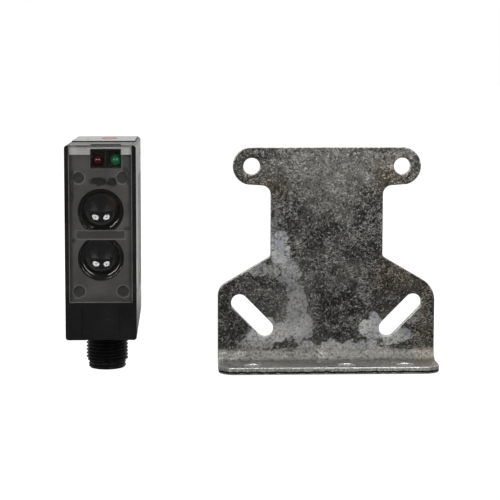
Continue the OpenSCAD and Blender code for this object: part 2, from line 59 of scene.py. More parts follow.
# Sizes shared by looks and shapes, in millimetres
LENS_Z = (34.0, 21.6)
PEG_X, PEG_Z, PEG_R = 5.8, (12.75, 42.9), 1.58
BAR_Z = 27.8
LENS_CUT = 4.8
WINDOW_T, CAP_T, CAP_DEPTH = 1.5, 0.5, 10
FOOT_DEPTH = 12.4
FOOT_HOLES_X, FOOT_HOLE_BACK = (-21.5, 4.9, 21.5), 8.8
PLATE_FRONT = bracket_lo.y / MM + FOOT_DEPTH
bracket_mid = (bracket_lo.x + bracket_hi.x) / 2 / MM
PLASTIC_IOR = 1.5


# ---------------------------------------------------------------- materials

class Look:
    """A material with short ways of adding nodes. Sizes are in millimetres on the object."""

    def __init__(self, name, colour, roughness, metallic=0.0, **sockets):
        self.material = bpy.data.materials.new(name)
        self.material.use_nodes = True
        self.tree = self.material.node_tree
        self.shader = self.tree.nodes["Principled BSDF"]
        self.coords = self.node("ShaderNodeTexCoord")
        self.place = self.coords.outputs["Object"]
        self.set("Base Color", (*colour, 1.0))
        self.set("Roughness", roughness)
        self.set("Metallic", metallic)
        for socket, value in sockets.items():
            self.set(socket.replace("_", " "), value)

    def node(self, kind, **settings):
        made = self.tree.nodes.new(kind)
        for key, value in settings.items():
            setattr(made, key, value)
        return made

    def join(self, source, socket):
        if isinstance(source, bpy.types.NodeSocket):
            self.tree.links.new(source, socket)
        elif source is not None:
            socket.default_value = source

    def set(self, socket, value):
        self.join(value, self.shader.inputs[socket])

    def turned(self, degrees=(0, 0, 0), stretch=(1, 1, 1)):
        mapping = self.node("ShaderNodeMapping")
        self.join(self.place, mapping.inputs["Vector"])
        mapping.inputs["Rotation"].default_value = [math.radians(d) for d in degrees]
        mapping.inputs["Scale"].default_value = stretch
        return mapping.outputs["Vector"]

    def noise(self, size, detail=3.0, rough=0.55, place=None, bend=0.0):
        made = self.node("ShaderNodeTexNoise")
        self.join(place or self.place, made.inputs["Vector"])
        made.inputs["Scale"].default_value = 1 / (size * MM)
        made.inputs["Detail"].default_value = detail
        made.inputs["Roughness"].default_value = rough
        made.inputs["Distortion"].default_value = bend
        return made.outputs["Fac"]

    def voronoi(self, size):
        made = self.node("ShaderNodeTexVoronoi", feature="F1")
        self.join(self.place, made.inputs["Vector"])
        made.inputs["Scale"].default_value = 1 / (size * MM)
        return made.outputs

    def cells(self, size):
        """Distance from the middle of each small cell."""
        return self.voronoi(size)["Distance"]

    def grains(self, size):
        """A random value for each small cell."""
        return self.axis(self.voronoi(size)["Color"], 0)

    def map(self, source, low, high, to_low=0.0, to_high=1.0, smooth=True):
        made = self.node("ShaderNodeMapRange")
        made.interpolation_type = "SMOOTHSTEP" if smooth else "LINEAR"
        self.join(source, made.inputs["Value"])
        for name, value in (("From Min", low), ("From Max", high),
                            ("To Min", to_low), ("To Max", to_high)):
            made.inputs[name].default_value = value
        return made.outputs["Result"]

    def maths(self, operation, a, b=None):
        made = self.node("ShaderNodeMath", operation=operation)
        self.join(a, made.inputs[0])
        self.join(b, made.inputs[1])
        return made.outputs[0]

    def mix(self, factor, a, b, blend="MIX"):
        made = self.node("ShaderNodeMix", data_type="RGBA", blend_type=blend)
        self.join(factor, made.inputs[0])
        for value, socket in ((a, made.inputs[6]), (b, made.inputs[7])):
            self.join((*value, 1.0) if isinstance(value, tuple) else value, socket)
        return made.outputs[2]

    def bump(self, height, depth, strength=1.0, below=None):
        made = self.node("ShaderNodeBump")
        self.join(height, made.inputs["Height"])
        made.inputs["Distance"].default_value = depth * MM
        made.inputs["Strength"].default_value = strength
        if below is not None:
            self.join(below, made.inputs["Normal"])
        return made.outputs["Normal"]

    def axis(self, source, index):
        split = self.node("ShaderNodeSeparateXYZ")
        self.join(source, split.inputs[0])
        return split.outputs[index]

    def centred(self, centre, half, plane="XZ", wobble=0.0, wobble_size=3.0):
        """Coordinates measured from a centre in half widths, in one plane (millimetres)."""
        a, b = ("XYZ".index(letter) for letter in plane)
        scale, shift = [0.0] * 3, [0.0] * 3
        scale[a], scale[b] = 1 / (half[0] * MM), 1 / (half[1] * MM)
        shift[a], shift[b] = -centre[0] / half[0], -centre[1] / half[1]
        place = self.place
        if wobble:
            waves = self.node("ShaderNodeTexNoise")
            self.join(self.place, waves.inputs["Vector"])
            waves.inputs["Scale"].default_value = 1 / (wobble_size * MM)
            waves.inputs["Detail"].default_value = 4.0
            move = self.node("ShaderNodeVectorMath", operation="MULTIPLY_ADD")
            self.join(waves.outputs["Color"], move.inputs[0])
            move.inputs[1].default_value = [2 * wobble * MM] * 3
            offset = self.node("ShaderNodeVectorMath", operation="SUBTRACT")
            self.join(self.place, offset.inputs[0])
            offset.inputs[1].default_value = [wobble * MM] * 3
            self.join(offset.outputs[0], move.inputs[2])
            place = move.outputs[0]
        mapping = self.node("ShaderNodeMapping")
        self.join(place, mapping.inputs["Vector"])
        mapping.inputs["Scale"].default_value = scale
        mapping.inputs["Location"].default_value = shift
        return mapping.outputs["Vector"]

    def oval(self, centre, half, **options):
        """Distance from an oval's centre: 1 on its edge."""
        length = self.node("ShaderNodeVectorMath", operation="LENGTH")
        self.join(self.centred(centre, half, **options), length.inputs[0])
        return length.outputs["Value"]

    def box(self, centre, half, **options):
        """Distance from a rectangle's centre: 1 on its edges."""
        size = self.node("ShaderNodeVectorMath", operation="ABSOLUTE")
        self.join(self.centred(centre, half, **options), size.inputs[0])
        split = self.node("ShaderNodeSeparateXYZ")
        self.join(size.outputs[0], split.inputs[0])
        most = self.maths("MAXIMUM", split.outputs[0], split.outputs[1])
        return self.maths("MAXIMUM", most, split.outputs[2])

    def line(self, distance, at, width):
        """A soft line where a distance passes a value."""
        off = self.maths("ABSOLUTE", self.maths("SUBTRACT", distance, at))
        return self.map(off, width * 0.4, width, 1.0, 0.0)


def shade(colour, factor):
    return tuple(min(1.0, c * factor) for c in colour)


def moulded(name, colour, roughness, grain=0.16, depth=0.010, dust=0.35, **sockets):
    """Moulded plastic: spark-eroded grain, a little flow mottle, faint scuffs and dust."""
    look = Look(name, colour, roughness, **sockets)
    grainy = look.noise(grain, 2.0)
    mottle = look.noise(7.0, 4.0)
    scuffs = look.map(look.noise(1.6, 6.0, 0.75, look.turned((0, 35, 0), (1, 1, 6))), 0.56, 0.75)
    tone = look.mix(look.map(mottle, 0.3, 0.7), shade(colour, 0.8), shade(colour, 1.25))
    tone = look.mix(look.maths("MULTIPLY", scuffs, dust), tone, shade(colour, 2.6))
    specks = look.map(look.cells(1.9), 0.035, 0.075, 1.0, 0.0)
    tone = look.mix(look.maths("MULTIPLY", specks, dust), tone, shade(colour, 5.0))
    look.set("Base Color", tone)
    rough = look.map(mottle, 0.25, 0.75, roughness - 0.05, roughness + 0.07)
    look.set("Roughness", look.maths("ADD", rough, look.maths("MULTIPLY", scuffs, 0.08)))
    look.set("Normal", look.bump(grainy, depth))
    return look


def plain(name, colour, roughness, metallic=0.0, grain=0.4, depth=0.006, vary=0.25, **sockets):
    """A small part's finish: slight tone, gloss and surface variation."""
    look = Look(name, colour, roughness, metallic, **sockets)
    fine = look.noise(grain, 3.0)
    broad = look.noise(grain * 9, 3.0)
    both = look.maths("ADD", look.maths("MULTIPLY", fine, 0.5), look.maths("MULTIPLY", broad, 0.5))
    look.set("Base Color", look.mix(look.map(both, 0.35, 0.65),
                                    shade(colour, 1 - vary), shade(colour, 1 + vary)))
    look.set("Roughness", look.map(broad, 0.3, 0.7, max(0.02, roughness * 0.8), roughness * 1.25))
    look.set("Normal", look.bump(fine, depth))
    return look


def clear(name, colour, alpha, roughness):
    """See-through plastic with hairline scratches."""
    look = Look(name, colour, roughness, Alpha=alpha, IOR=PLASTIC_IOR)
    hairs = look.noise(0.5, 3.0, 0.6, look.turned((0, 25, 0), (1, 1, 14)))
    smears = look.noise(5.0, 4.0)
    look.set("Base Color", look.mix(look.map(smears, 0.3, 0.7), shade(colour, 0.85), shade(colour, 1.2)))
    look.set("Roughness", look.maths("ADD", look.map(hairs, 0.62, 0.72, 0.0, 0.12),
                                     look.map(smears, 0.3, 0.7, roughness * 0.7, roughness * 1.4)))
    return look


def carrier_grey():
    """Grey moulded plate behind the window, with painted shade and painted highlight outlines where the
    window's pegs and rib stand.
    """
    look = moulded("carrier_grey", (0.148, 0.143, 0.136), 0.5, grain=0.22, dust=0.1)
    tone = look.shader.inputs["Base Color"].links[0].from_socket
    # Painted shade inside each peg's outline, and a painted highlight ring round it
    for x in (-PEG_X, PEG_X):
        for z in PEG_Z:
            far = look.oval((x, z), (PEG_R, PEG_R))
            tone = look.mix(look.map(far, 0.85, 0.95, 0.6, 0.0), tone, (0.1, 0.097, 0.092))
            tone = look.mix(look.maths("MULTIPLY", look.line(far, 1.03, 0.2), 0.8), tone, (0.3, 0.295, 0.28))
    # Painted highlight: a pale outline round the window's rib
    bar, rim = look.box((0, BAR_Z), (6.25, 0.95)), look.box((0, BAR_Z), (6.6, 1.3))
    tone = look.mix(look.map(rim, 0.98, 1.0, 0.9, 0.0), tone, (0.32, 0.315, 0.3))
    tone = look.mix(look.map(bar, 0.95, 1.0, 1.0, 0.0), tone, (0.15, 0.146, 0.139))
    # Painted shade: dark colour in the two recesses above the upper lens
    for centre, half in (((-0.45, 41.9), (2.3, 1.2)), ((3.0, 41.7), (1.6, 1.15))):
        mark = look.map(look.oval(centre, half, wobble=0.9, wobble_size=1.6), 0.7, 1.2, 0.95, 0.0)
        tone = look.mix(mark, tone, (0.022, 0.021, 0.02))
    # Painted highlight: a pale line along the edge of the indicators' pocket
    pocket = look.box((1.4, 48.4), (4.15, 3.05))
    tone = look.mix(look.maths("MULTIPLY", look.line(pocket, 1.0, 0.07), 0.6), tone, (0.32, 0.315, 0.3))
    # Smears and scrapes on both sides of the indicators and by the pegs
    for centre, half in (((-7.3, 43.4), (0.5, 2.4)), ((-7.5, 38.6), (0.35, 3.0)), ((6.6, 45.0), (1.0, 1.3)),
                         ((7.4, 42.6), (0.4, 2.6)), ((7.0, 29.4), (1.3, 0.6)), ((-7.2, 26.2), (0.8, 0.8))):
        mark = look.map(look.oval(centre, half, wobble=0.7, wobble_size=1.3), 0.5, 1.1, 0.7, 0.0)
        tone = look.mix(mark, tone, (0.035, 0.034, 0.033))
    hairs = look.line(look.noise(5.5, 1.0, 0.4, look.turned((0, 15, 0), (1, 1, 2.2)), 0.9), 0.5, 0.006)
    broken = look.map(look.noise(3.0, 2.0), 0.52, 0.62, 0.0, 0.5)
    tone = look.mix(look.maths("MULTIPLY", hairs, broken), tone, (0.3, 0.295, 0.285))
    # Darker colour along the plate's edges
    rim = look.map(look.box((0, 29.8), (7.9, 19.2), wobble=0.5), 0.9, 1.0, 0.0, 0.45)
    tone = look.mix(rim, tone, (0.07, 0.068, 0.066))
    look.set("Base Color", tone)
    return look


def diffuser_white():
    """Milky moulded bar, brighter towards its ends: painted light, a paler colour and a faint painted glow
    there, though the bar is no lamp.
    """
    look = plain("diffuser_white", (0.86, 0.85, 0.82), 0.5, grain=0.5, vary=0.05)
    tone = look.shader.inputs["Base Color"].links[0].from_socket
    # Painted light: paler colour and a faint glow towards the ends
    away = look.maths("ABSOLUTE", look.axis(look.place, 0))
    ends = look.map(away, 4.5 * MM, 8.0 * MM)
    look.set("Base Color", look.mix(ends, tone, (1.0, 0.99, 0.97)))
    look.set("Emission Color", (1.0, 0.97, 0.93, 1.0))
    look.set("Emission Strength", look.map(away, 5.5 * MM, 8.1 * MM, 0.0, 0.1))
    return look


def zinc_steel():
    """Zinc-plated sheet: dark fine mottle with bright grains, smooth pale patches, stains, scratches."""
    look = Look("zinc_steel", (0.3, 0.3, 0.29), 0.34, 0.95)
    cloud = look.noise(0.9, 7.0, 0.75, bend=0.5)
    broad = look.noise(13.0, 5.0, 0.6, bend=0.5)
    speck = look.noise(0.62, 5.0, 0.8, bend=0.8)
    grain = look.grains(0.42)
    fine = look.grains(0.3)
    tone = look.mix(look.map(cloud, 0.34, 0.64), (0.035, 0.0345, 0.031), (0.15, 0.148, 0.133))
    tone = look.mix(look.map(broad, 0.5, 0.66, 0.0, 0.5), tone, (0.2, 0.197, 0.18))
    for centre, half, amount in PALE_PLACES:
        near = look.oval((bracket_mid + centre[0], centre[1]), half, wobble=4.0, wobble_size=6.0)
        tone = look.mix(look.map(near, 0.2, 1.2, amount, 0.0), tone, (0.42, 0.41, 0.37))
    for centre, half, amount in DARK_PLACES:
        near = look.oval((bracket_mid + centre[0], centre[1]), half, wobble=3.5, wobble_size=4.0)
        tone = look.mix(look.map(near, 0.5, 1.15, amount, 0.0), tone, (0.03, 0.0295, 0.027))
    smooth = None
    for centre, half, pale in SMOOTH_PLACES:
        near = look.oval((bracket_mid + centre[0], centre[1]), half, wobble=3.0, wobble_size=2.6)
        mask = look.map(near, 0.84, 1.0, pale, 0.0)
        smooth = mask if smooth is None else look.maths("MAXIMUM", smooth, mask)
    pits = look.map(look.noise(0.9, 5.0, 0.8), 0.42, 0.5, 0.3, 1.0)
    smooth = look.maths("MULTIPLY", smooth, pits)
    tint = look.map(look.noise(6.0, 3.0), 0.42, 0.6)
    tone = look.mix(smooth, tone, look.mix(tint, (0.86, 0.86, 0.83), (0.62, 0.63, 0.67)))
    # The bend: painted sheen, a pale band with a ragged upper edge where the top softbox's reflection falls;
    # rougher there too
    height = look.axis(look.place, 2)
    ragged = look.maths("ADD", height, look.maths("MULTIPLY", look.noise(5.0, 5.0, 0.65), 3.4 * MM))
    bend = look.map(ragged, bracket_lo.z + 6.6 * MM, bracket_lo.z + 7.0 * MM, 0.85, 0.0)
    tone = look.mix(look.maths("MULTIPLY", bend, pits), tone, (0.42, 0.415, 0.385))
    calm = look.map(look.maths("MAXIMUM", smooth, bend), 0.1, 0.8, 1.0, 0.3)
    # Bright and dark grains of the coating
    tone = look.mix(look.maths("MULTIPLY", look.map(grain, 0.0, 0.4, 0.8, 0.0, smooth=False), calm),
                    tone, (0.012, 0.0115, 0.0105))
    bright = look.maths("MULTIPLY", look.map(speck, 0.5, 0.62), look.map(fine, 0.35, 0.8))
    tone = look.mix(look.maths("MULTIPLY", bright, calm), tone, (1.0, 0.98, 0.91))
    # Curly hairline scratches: thin level lines of bent noises
    for size, width, turn in ((2.6, 0.012, 20), (4.1, 0.008, 70), (3.2, 0.009, 130)):
        level = look.noise(size, 2.0, 0.5, look.turned((0, turn, 0), (1, 1, 1.8)), 1.2)
        broken = look.map(look.noise(4.5, 2.0), 0.46, 0.56)
        line = look.maths("MULTIPLY", look.line(level, 0.5, width), look.maths("MULTIPLY", broken, 0.8))
        tone = look.mix(line, tone, (0.9, 0.88, 0.82))
    # Brown chromate at the ears and on the right
    for centre, half in STAINS:
        near = look.oval((bracket_mid + centre[0], centre[1]), half, wobble=5.0, wobble_size=7.0)
        tone = look.mix(look.map(near, 0.2, 1.3, 0.6, 0.0), tone, (1.0, 0.84, 0.66), "MULTIPLY")
    look.set("Base Color", tone)
    rough = look.map(cloud, 0.35, 0.65, 0.38, 0.28)
    rough = look.maths("ADD", rough, look.map(smooth, 0.0, 1.0, 0.0, 0.2))
    look.set("Roughness", look.maths("ADD", rough, look.map(bend, 0.0, 0.85, 0.0, 0.25)))
    bumps = look.maths("MULTIPLY", look.maths("ADD", speck, look.maths("MULTIPLY", grain, 0.3)), calm)
    look.set("Normal", look.bump(bumps, 0.035, 0.9, look.bump(cloud, 0.08, 0.6)))
    return look


def zinc_edge():
    """Sheared edge of the sheet: a burnished upper zone over a torn dark band."""
    look = Look("zinc_edge", (0.8, 0.8, 0.77), 0.3, 0.9)
    grain = look.grains(0.3)
    speck = look.noise(0.5, 4.0, 0.75)
    tone = look.mix(look.map(grain, 0.1, 0.9), (0.5, 0.5, 0.47), (0.98, 0.97, 0.93))
    height = look.axis(look.place, 2)
    wave = look.maths("MULTIPLY", look.noise(1.6, 4.0, 0.7), 0.9 * MM)
    level = look.maths("ADD", height, wave)
    floor_z = bracket_lo.z
    torn = look.maths("MULTIPLY",
                      look.map(level, floor_z + 0.75 * MM, floor_z + 0.95 * MM),
                      look.map(level, floor_z + 1.3 * MM, floor_z + 1.5 * MM, 1.0, 0.0))
    tone = look.mix(torn, tone, (0.03, 0.03, 0.028))
    # Painted highlight: near-white colour on the walls of the foot's holes
    for x in FOOT_HOLES_X:
        inside = look.map(look.oval((bracket_mid + x, PLATE_FRONT - FOOT_HOLE_BACK), (2.7, 2.7), plane="XY"),
                          0.98, 1.0, 1.0, 0.0)
        tone = look.mix(inside, tone, (1.0, 1.0, 0.98))
    look.set("Base Color", tone)
    look.set("Roughness", look.map(speck, 0.3, 0.7, 0.22, 0.4))
    look.set("Normal", look.bump(speck, 0.025, 0.8))
    return look


def printed_label(name, slot_plane, centre, half, marks, bars=()):
    """Pale satin label with a dark printed rim and a few plain printed shapes.

    The rim is measured from one label's centre, so a label elsewhere comes out dark all over."""
    look = plain(name, (0.58, 0.575, 0.565), 0.36, grain=0.25, depth=0.003, vary=0.04)
    tone = look.shader.inputs["Base Color"].links[0].from_socket
    worn = look.map(look.noise(0.35, 3.0), 0.3, 0.42, 0.75, 1.0)
    rim = look.map(look.box(centre, half, plane=slot_plane), 0.965, 0.975, 0.0, 0.9)
    tone = look.mix(rim, tone, (0.03, 0.03, 0.03))
    for at, size, ink in marks:
        far = look.oval(at, size, plane=slot_plane)
        tone = look.mix(look.maths("MULTIPLY", look.map(far, 0.93, 1.0, 0.9, 0.0), worn), tone, ink)
    for at, size, ink in bars:
        far = look.box(at, size, plane=slot_plane)
        tone = look.mix(look.maths("MULTIPLY", look.map(far, 0.9, 1.0, 0.85, 0.0), worn), tone, ink)
    look.set("Base Color", tone)
    return look


def lens_back():
    """Dark mirror of the lens's rear dome, with a painted amber reflection at the upper lens's upper right.
    """
    look = Look("lens_back", (0.006, 0.005, 0.004), 0.07, IOR=2.3, Specular_IOR_Level=1.0)
    warm = look.map(look.noise(4.0, 3.0), 0.3, 0.7)
    tone = look.mix(warm, (0.004, 0.003, 0.0026), (0.012, 0.009, 0.0075))
    # Painted reflection: an amber band at the upper lens's upper right
    band = look.line(look.oval((0, LENS_Z[0]), (4.2, 4.2)), 1.0, 0.32)
    near = look.map(look.oval((3.1, LENS_Z[0] + 2.9), (2.6, 2.6)), 0.2, 1.0, 1.0, 0.0)
    tone = look.mix(look.maths("MULTIPLY", band, near), tone, (0.15, 0.085, 0.035))
    look.set("Base Color", tone)
    look.set("Roughness", look.map(look.noise(0.8, 3.0), 0.3, 0.7, 0.05, 0.1))
    return look


# Places on the bracket: a centre (x, z) and half widths in millimetres, then a strength
PALE_PLACES = (
    ((0.0, 43.0), (19.0, 8.0), 0.5),
    ((3.0, 33.0), (9.0, 7.0), 0.3),
    ((5.0, 14.0), (4.0, 5.0), 0.35),
    ((-9.0, 0.0), (9.0, 12.0), 0.45),
)
DARK_PLACES = (
    ((-10.5, 30.0), (3.5, 7.0), 0.6),
    ((11.5, 27.0), (4.5, 9.0), 0.75),
    ((0.0, 25.5), (6.0, 4.0), 0.4),
    ((3.5, 2.0), (8.0, 8.0), 0.7),
    ((-1.0, 16.0), (5.0, 4.0), 0.4),
    ((-26.0, 6.0), (3.5, 6.0), 0.4),
    ((-4.0, -9.0), (22.0, 1.6), 0.6),
)
SMOOTH_PLACES = (
    ((-13.6, 20.0), (4.0, 5.4), 1.0),
    ((-14.9, 27.0), (1.6, 5.5), 0.35),
    ((-21.5, 14.2), (8.5, 1.7), 0.55),
    ((-10.5, 13.5), (3.4, 4.5), 0.65),
    ((-8.6, 6.0), (3.4, 5.4), 0.5),
    ((-7.5, -2.0), (5.0, 5.0), 0.65),
    ((-15.0, -3.8), (8.5, 3.6), 0.85),
    ((-20.0, -6.5), (5.5, 2.6), 0.6),
    ((13.2, -2.6), (4.2, 4.4), 1.0),
    ((19.8, -4.6), (6.0, 3.0), 0.8),
    ((24.5, 1.2), (3.4, 3.4), 0.4),
    ((5.0, -8.2), (15.0, 1.6), 0.8),
)
STAINS = (
    ((-17.0, 37.5), (8.0, 4.5)),
    ((18.0, 40.0), (6.0, 7.0)),
    ((21.0, 12.5), (9.0, 6.0)),
    ((28.5, -2.0), (3.5, 13.0)),
)

LOOKS = {
    "black_housing": moulded("black_housing", (0.0175, 0.017, 0.017), 0.22, depth=0.003,
                             Specular_IOR_Level=0.4),
    "black_plug": moulded("black_plug", (0.0062, 0.006, 0.006), 0.42, grain=0.3, depth=0.006, dust=0.25,
                          Specular_IOR_Level=0.3),
    "black_rubber": plain("black_rubber", (0.012, 0.012, 0.012), 0.7, grain=0.3, depth=0.01),
    "grey_seal": plain("grey_seal", (0.2, 0.197, 0.19), 0.5, grain=0.4, depth=0.01),
    "smoked_window": clear("smoked_window", (0.03, 0.03, 0.03), 0.1, 0.05),
    "carrier_grey": carrier_grey(),
    "barrel_black": plain("barrel_black", (0.012, 0.011, 0.011), 0.5, grain=0.25, depth=0.01),
    "lens_clear": clear("lens_clear", (0.012, 0.008, 0.006), 0.15, 0.03),
    "lens_back": lens_back(),
    "tinned_steel": plain("tinned_steel", (0.55, 0.55, 0.53), 0.3, 1.0, grain=0.5),
    "emitter_resin": plain("emitter_resin", (0.25, 0.06, 0.04), 0.15, grain=0.8),
    "receiver_resin": plain("receiver_resin", (0.03, 0.03, 0.06), 0.12, grain=0.8),
    "board_green": plain("board_green", (0.015, 0.09, 0.035), 0.3, grain=0.5),
    "diffuser_white": diffuser_white(),
    # Painted light: the window's flat top is a paler, nearly opaque copy of the smoked window, standing in
    # for light falling through it from above
    "window_cap": plain("window_cap", (0.22, 0.215, 0.205), 0.3, grain=0.6, vary=0.1, Alpha=0.9),
    "lamp_red": plain("lamp_red", (0.075, 0.002, 0.005), 0.03, grain=0.8, depth=0.0, vary=0.12, IOR=1.8),
    "lamp_green": plain("lamp_green", (0.016, 0.22, 0.08), 0.03, grain=0.8, depth=0.0, vary=0.12, IOR=1.8),
    "chip_black": plain("chip_black", (0.02, 0.02, 0.02), 0.5, grain=0.25),
    "capacitor_sleeve": plain("capacitor_sleeve", (0.02, 0.02, 0.07), 0.25, grain=0.6),
    "flex_amber": plain("flex_amber", (0.42, 0.19, 0.03), 0.25, grain=0.6),
    "pot_blue": plain("pot_blue", (0.02, 0.07, 0.33), 0.35, grain=0.3),
    "rotor_ivory": plain("rotor_ivory", (0.6, 0.54, 0.38), 0.4, grain=0.3, vary=0.12),
    "insert_black": plain("insert_black", (0.018, 0.018, 0.02), 0.42, grain=0.25),
    "gold_contact": plain("gold_contact", (0.8, 0.56, 0.2), 0.22, 1.0, grain=0.4, vary=0.1),
    "tinned_copper": plain("tinned_copper", (0.5, 0.28, 0.17), 0.35, 1.0, grain=0.4),
    "nickel_brass": plain("nickel_brass", (0.56, 0.54, 0.49), 0.28, 1.0, grain=0.5, vary=0.12),
    "label_grey": printed_label(
        "label_grey", "XY", ((label_lo.x + label_hi.x) / 2 / MM, (label_lo.y + label_hi.y) / 2 / MM),
        ((label_hi.x - label_lo.x) / 2 / MM, (label_hi.y - label_lo.y) / 2 / MM),
        (((0.9, 3.0), (2.3, 7.2), (0.42, 0.03, 0.035)), ((0.9, 3.0), (1.4, 5.4), (0.6, 0.3, 0.3))),
        (((-4.9, -2.0), (0.35, 3.2), (0.25, 0.25, 0.25)),)),
    "zinc_steel": zinc_steel(),
    "zinc_edge": zinc_edge(),
}


def paint(obj, slot):
    obj.data.materials.clear()
    obj.data.materials.append(LOOKS[slot].material)


for part in frame["record"]["subparts"]:
    paint(frame["nodes"][part["node"]], part["material_slot"])


# ---------------------------------------------------------------- edges of the CAD pieces

def soften(node, width):
    """Rounds a CAD piece's edges a little, as a mould or a press leaves them."""
    obj = frame["nodes"][node]
    weld = obj.modifiers.new("weld", "WELD")
    weld.merge_threshold = 0.002 * MM
    bevel = obj.modifiers.new("edges", "BEVEL")
    bevel.width = width * MM
    bevel.segments = 2
    bevel.limit_method = "ANGLE"
    bevel.angle_limit = math.radians(32)
    bevel.use_clamp_overlap = True
    normals = obj.modifiers.new("normals", "WEIGHTED_NORMAL")
    normals.keep_sharp = False


for name in ("front_shell", "rear_shell"):
    soften(name, 0.12)
soften("optics_carrier", 0.12)
soften("indicator_shroud", 0.08)


# ---------------------------------------------------------------- pieces that need real shape

def mesh_piece(name, build, slot, body, more_looks=()):
    """A mesh made by build(bm), in the row frame, riding on a body."""
    data = bpy.data.meshes.new(name)
    bm = bmesh.new()
    build(bm)
    bmesh.ops.recalc_face_normals(bm, faces=bm.faces)
    bm.to_mesh(data)
    bm.free()
    obj = bpy.data.objects.new(name, data)
    scene.collection.objects.link(obj)
    for face in data.polygons:
        face.use_smooth = True
    data.set_sharp_from_angle(angle=math.radians(35))
    for look in (slot, *more_looks):
        data.materials.append(LOOKS[look].material)
    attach(obj, body)
    return obj


def lathe(bm, profile, steps, centre=(0.0, 0.0), shape=None):
    """Spins a closed profile of (radius, z) round Z. shape(angle, radius, z) may move a radius."""
    rings = []
    for step in range(steps):
        angle = 2 * math.pi * step / steps
        ring = []
        for radius, z in profile:
            r = shape(angle, radius, z) if shape else radius
            ring.append(bm.verts.new((centre[0] + r * math.cos(angle),
                                      centre[1] + r * math.sin(angle), z)))
        rings.append(ring)
    count = len(profile)
    for step in range(steps):
        here, there = rings[step], rings[(step + 1) % steps]
        for n in range(count):
            m = (n + 1) % count
            bm.faces.new((here[n], here[m], there[m], there[n]))


def build_plug(bm):
    """The plug's shell with its real helical M12 thread, and the coding key in its socket."""
    pitch, depth = 1.0 * MM, 0.58 * MM
    crest, tip_r, bore = 5.94 * MM, 5.3 * MM, 4.4 * MM
    tip_top, low, chamfer = plug_lo.z + 2.2 * MM, plug_lo.z, 0.4 * MM
    neck, flange, wall = 5.3 * MM, plug_hi.x, 1.4 * MM
    rows = 200
    outer = [(bore + chamfer, low), (tip_r - chamfer, low)]
    outer += [(crest, low + chamfer - (low + chamfer) * n / rows) for n in range(rows + 1)]
    outer += [(neck, 0.02 * MM), (neck, wall), (flange, wall), (flange, plug_hi.z), (bore, plug_hi.z),
              (bore, low + chamfer)]

    def thread(angle, radius, z):
        if radius != crest:
            return radius
        phase = (z / pitch - angle / (2 * math.pi)) % 1.0
        groove = max(0.0, 1 - abs(phase - 0.5) / 0.42) ** 0.9
        onto_tip = min(1.0, max(0.0, (z - tip_top + 0.3 * MM) / (0.6 * MM)))
        ending = min(1.0, max(0.0, (z - low - 0.45 * MM) / (0.3 * MM)))
        top = min(1.0, max(0.0, -z / (0.7 * MM)))
        full = tip_r + (crest - tip_r) * onto_tip
        cut = (0.3 * MM + (depth - 0.3 * MM) * onto_tip) * ending * top
        return full - cut * groove

    lathe(bm, outer, 160, shape=thread)
    key = bmesh.ops.create_cube(bm, size=1.0)["verts"]
    for vert in key:
        vert.co = Vector((vert.co.x * 1.5 * MM, vert.co.y * 0.85 * MM - bore + 0.35 * MM,
                          vert.co.z * 8.6 * MM + low + 4.9 * MM))


def build_lens(bm, z, keep, grooved):
    """A lens on its axis along Y: nearly flat front, deep dome behind, cut straight on one side.

    keep is +1 or -1, the side of the straight cut that stays. grooved adds two round steps
    inside the rim, which catch the lights low on both sides."""
    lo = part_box("emitter_lens")[0]
    rim_r, dome_r, dome_rim, edge = 5.9 * MM, 7.1 * MM, 5.1 * MM, 1.7 * MM
    front_r = 40 * MM
    rise = front_r - math.sqrt(front_r ** 2 - rim_r ** 2)
    y_rim = lo.y + rise + edge
    rows, steps, groove_rows = 28, 96, 10
    profile = []
    for n in range(rows + 1):
        r = rim_r * n / rows
        profile.append((r, y_rim - edge - rise + front_r - math.sqrt(front_r ** 2 - r ** 2)))
    profile.append((rim_r, y_rim))
    if grooved:
        for centre, half, deep in ((5.58, 0.26, 0.1), (5.0, 0.28, 0.11)):
            for n in range(groove_rows + 1):
                t = 1 - 2 * n / groove_rows
                profile.append(((centre + half * t) * MM, y_rim + deep * MM * (1 - t * t)))
        dome_rim = 4.65 * MM
    sink = math.sqrt(dome_r ** 2 - dome_rim ** 2)
    # The dome sags by drop, like a cone with a rounded tip
    drop, round_off = 0.9 * MM, 1.3 * MM

    def slope(r):
        return math.hypot(r, round_off) - round_off

    for n in range(rows + 1):
        a = math.asin(dome_rim / dome_r) * (1 - n / rows)
        profile.append((dome_r * math.sin(a), y_rim + dome_r * math.cos(a) - sink))
    rings = []
    for r, y in profile:
        if r < 1e-7:
            rings.append([bm.verts.new((0, y, z - (drop if y > y_rim else 0)))] * steps)
        else:
            low = drop * (1 - slope(r) / slope(dome_rim)) if y > y_rim and r < dome_rim else 0
            rings.append([bm.verts.new((r * math.cos(2 * math.pi * s / steps), y,
                                        z - low + r * math.sin(2 * math.pi * s / steps)))
                          for s in range(steps)])
    for one, two in zip(rings, rings[1:]):
        for s in range(steps):
            t = (s + 1) % steps
            corners = list(dict.fromkeys((one[s], one[t], two[t], two[s])))
            bm.faces.new(corners)
    cut = bmesh.ops.bisect_plane(bm, geom=bm.verts[:] + bm.edges[:] + bm.faces[:],
                                 plane_co=(0, 0, z - keep * LENS_CUT * MM),
                                 plane_no=(0, 0, -keep), clear_outer=True)
    border = [e for e in cut["geom_cut"] if isinstance(e, bmesh.types.BMEdge)]
    bmesh.ops.contextual_create(bm, geom=border)
    for face in bm.faces:
        face.material_index = 1 if min(v.co.y for v in face.verts) > y_rim - 0.01 * MM else 0


plug = mesh_piece("plug_shell_threaded", build_plug, "black_plug", "sensor")
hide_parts("plug_shell")
for node, z, keep, grooved in (("emitter_lens", LENS_Z[0], 1, False), ("receiver_lens", LENS_Z[1], -1, True)):
    lens = mesh_piece(node + "_ground", lambda bm: build_lens(bm, z * MM, keep, grooved),
                      "lens_clear", "sensor", more_looks=("lens_back",))
    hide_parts(node)


